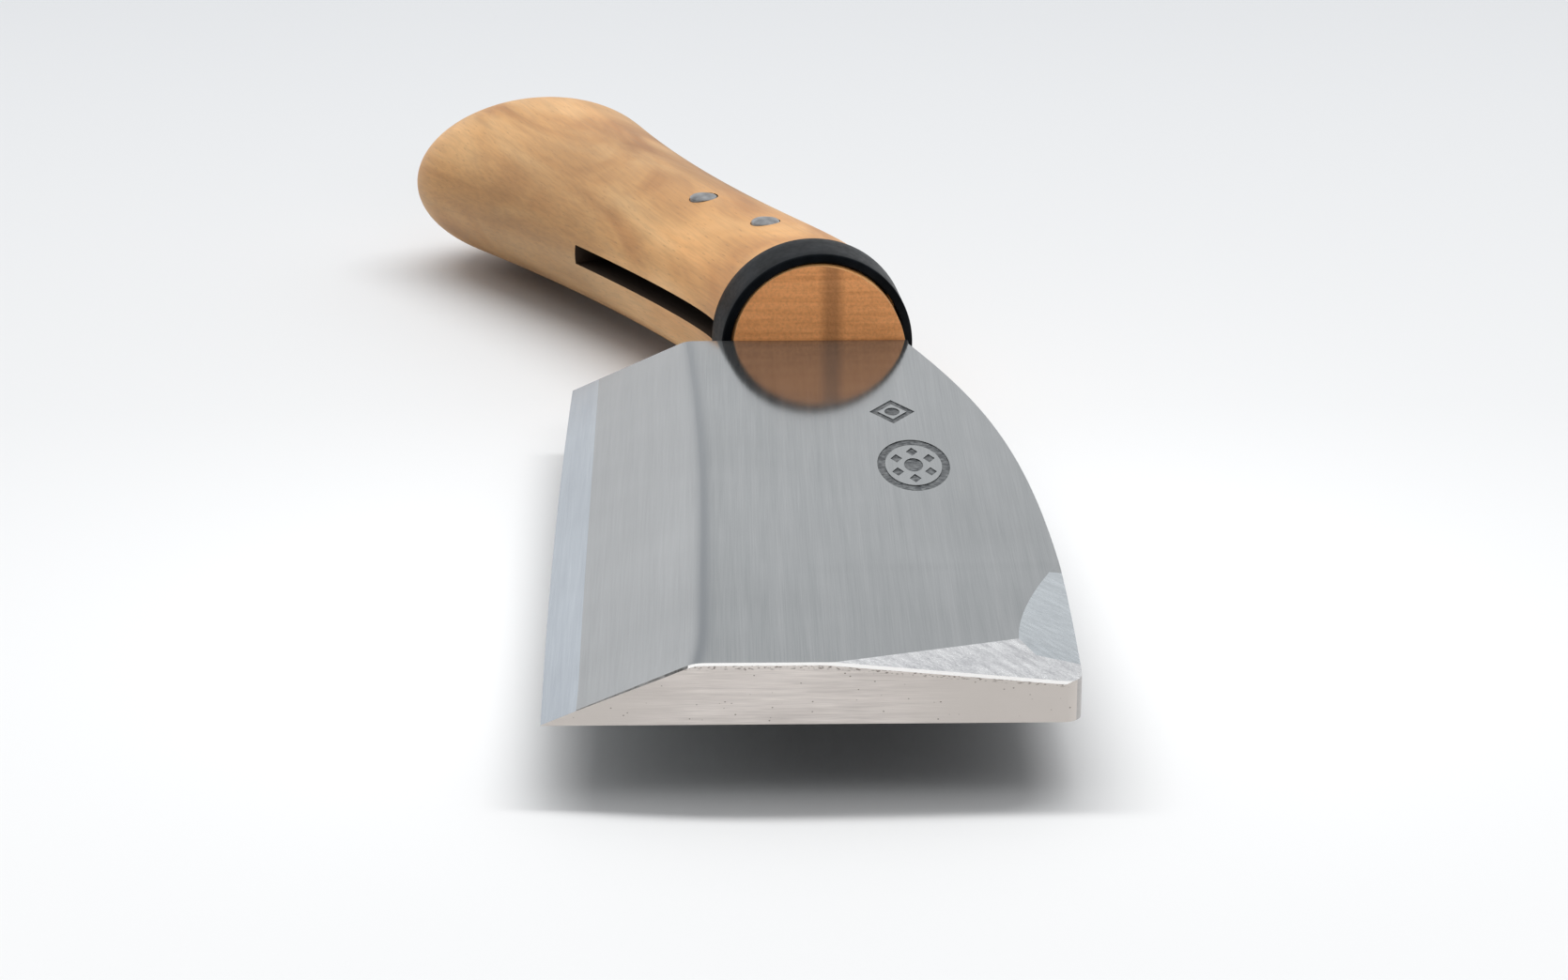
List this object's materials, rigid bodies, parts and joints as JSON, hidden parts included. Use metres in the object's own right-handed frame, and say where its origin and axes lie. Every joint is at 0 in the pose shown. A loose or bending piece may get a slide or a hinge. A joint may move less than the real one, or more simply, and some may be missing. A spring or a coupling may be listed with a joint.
{
  "type": "single-bevel hatchet",
  "caption": "Square-nosed forged hatchet with one ground bevel, a curved wooden grip, a black steel ferrule and riveted tang.",
  "frame": {"origin": "under the middle of the whole object, on the surface that the grip rests on", "axes": "+Y from the blade's nose to the grip's butt, +X from the cutting edge to the spine, +Z away from the blade's flat back"},
  "size_m": [0.0896, 0.2294, 0.028],
  "materials": {
    "forged_steel": "satin ground",
    "hardened_steel": "fine ground",
    "oiled_wood": "smooth sanded",
    "black_steel": "satin black",
    "rivet_steel": "peened"
  },
  "bodies": {
    "root": {"blade_body": "forged_steel", "edge_steel": "hardened_steel", "handle": "oiled_wood", "ferrule": "black_steel", "rivet_front": "rivet_steel", "rivet_rear": "rivet_steel", "washer_front": "rivet_steel", "washer_rear": "rivet_steel"}
  },
  "joints": []
}
